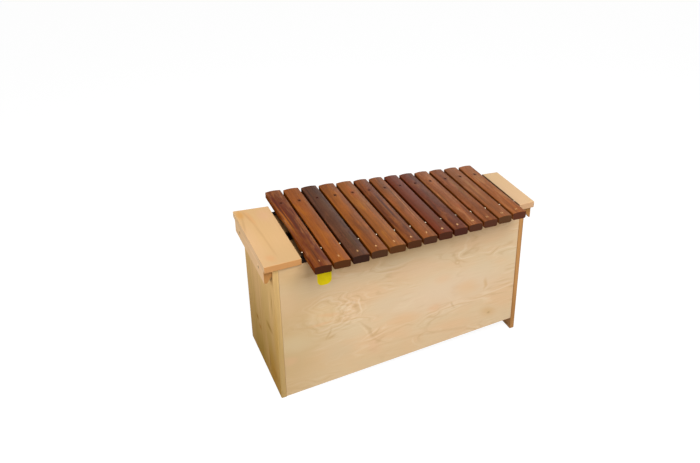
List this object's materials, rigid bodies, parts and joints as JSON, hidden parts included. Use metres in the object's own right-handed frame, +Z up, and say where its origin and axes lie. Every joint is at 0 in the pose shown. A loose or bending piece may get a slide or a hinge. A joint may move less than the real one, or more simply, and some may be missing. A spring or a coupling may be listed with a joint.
{
  "type": "bass xylophone",
  "caption": "Tapered wooden resonator box with a row of tuned wooden bars that rest on felt rails and lift off their pins one by one.",
  "frame": {"origin": "on the floor, at the middle of the instrument's length and depth", "axes": "+X runs along the row of bars towards the high notes, +Y runs away from the player, +Z is up"},
  "size_m": [0.891, 0.4984, 0.488],
  "materials": {
    "pine": "planed solid softwood, oiled, with a low satin sheen",
    "face_plywood": "rotary-cut softwood plywood, sanded and oiled",
    "inner_plywood": "thin plywood, unfinished",
    "black_stain": "black-stained hardwood strip, matt",
    "felt": "black wool felt",
    "nickel": "nickel-plated steel pin with a domed head",
    "zinc": "zinc-plated countersunk screw",
    "bar_red_brown": "planed tropical hardwood, red-brown, satin",
    "bar_orange_brown": "planed tropical hardwood, orange-brown, satin",
    "bar_dark_brown": "planed tropical hardwood, grey-purple brown, satin"
  },
  "bodies": {
    "root": {"left_cap": "pine", "right_cap": "pine", "left_end_board": "pine", "right_end_board": "pine", "left_grip_strip": "pine", "right_grip_strip": "pine", "front_panel": "face_plywood", "rear_panel": "face_plywood", "bottom_board": "inner_plywood", "front_cover_board": "inner_plywood", "rear_cover_board": "inner_plywood", "partition_01": "inner_plywood", "partition_02": "inner_plywood", "partition_03": "inner_plywood", "partition_04": "inner_plywood", "partition_05": "inner_plywood", "partition_06": "inner_plywood", "partition_07": "inner_plywood", "partition_08": "inner_plywood", "partition_09": "inner_plywood", "partition_10": "inner_plywood", "partition_11": "inner_plywood", "partition_12": "inner_plywood", "partition_13": "inner_plywood", "partition_14": "inner_plywood", "front_rail": "black_stain", "rear_rail": "black_stain", "front_felt_strip": "felt", "rear_felt_strip": "felt", "spacer_pin_01": "nickel", "spacer_pin_02": "nickel", "spacer_pin_03": "nickel", "spacer_pin_04": "nickel", "spacer_pin_05": "nickel", "spacer_pin_06": "nickel", "spacer_pin_07": "nickel", "spacer_pin_08": "nickel", "spacer_pin_09": "nickel", "spacer_pin_10": "nickel", "spacer_pin_11": "nickel", "spacer_pin_12": "nickel", "spacer_pin_13": "nickel", "spacer_pin_14": "nickel", "grip_screw_1": "zinc", "grip_screw_2": "zinc", "grip_screw_3": "zinc", "grip_screw_4": "zinc"},
    "bar_01_body": {"bar_01": "bar_red_brown"},
    "bar_02_body": {"bar_02": "bar_orange_brown"},
    "bar_03_body": {"bar_03": "bar_dark_brown"},
    "bar_04_body": {"bar_04": "bar_orange_brown"},
    "bar_05_body": {"bar_05": "bar_orange_brown"},
    "bar_06_body": {"bar_06": "bar_red_brown"},
    "bar_07_body": {"bar_07": "bar_orange_brown"},
    "bar_08_body": {"bar_08": "bar_red_brown"},
    "bar_09_body": {"bar_09": "bar_red_brown"},
    "bar_10_body": {"bar_10": "bar_orange_brown"},
    "bar_11_body": {"bar_11": "bar_red_brown"},
    "bar_12_body": {"bar_12": "bar_orange_brown"},
    "bar_13_body": {"bar_13": "bar_orange_brown"}
  },
  "joints": [
    {"name": "bar_01_lift", "type": "slide", "parent": "root", "child": "bar_01_body", "axis": [0, 0, 1], "range_m": [0, 0.04]},
    {"name": "bar_02_lift", "type": "slide", "parent": "root", "child": "bar_02_body", "axis": [0, 0, 1], "range_m": [0, 0.04]},
    {"name": "bar_03_lift", "type": "slide", "parent": "root", "child": "bar_03_body", "axis": [0, 0, 1], "range_m": [0, 0.04]},
    {"name": "bar_04_lift", "type": "slide", "parent": "root", "child": "bar_04_body", "axis": [0, 0, 1], "range_m": [0, 0.04]},
    {"name": "bar_05_lift", "type": "slide", "parent": "root", "child": "bar_05_body", "axis": [0, 0, 1], "range_m": [0, 0.04]},
    {"name": "bar_06_lift", "type": "slide", "parent": "root", "child": "bar_06_body", "axis": [0, 0, 1], "range_m": [0, 0.04]},
    {"name": "bar_07_lift", "type": "slide", "parent": "root", "child": "bar_07_body", "axis": [0, 0, 1], "range_m": [0, 0.04]},
    {"name": "bar_08_lift", "type": "slide", "parent": "root", "child": "bar_08_body", "axis": [0, 0, 1], "range_m": [0, 0.04]},
    {"name": "bar_09_lift", "type": "slide", "parent": "root", "child": "bar_09_body", "axis": [0, 0, 1], "range_m": [0, 0.04]},
    {"name": "bar_10_lift", "type": "slide", "parent": "root", "child": "bar_10_body", "axis": [0, 0, 1], "range_m": [0, 0.04]},
    {"name": "bar_11_lift", "type": "slide", "parent": "root", "child": "bar_11_body", "axis": [0, 0, 1], "range_m": [0, 0.04]},
    {"name": "bar_12_lift", "type": "slide", "parent": "root", "child": "bar_12_body", "axis": [0, 0, 1], "range_m": [0, 0.04]},
    {"name": "bar_13_lift", "type": "slide", "parent": "root", "child": "bar_13_body", "axis": [0, 0, 1], "range_m": [0, 0.04]}
  ]
}
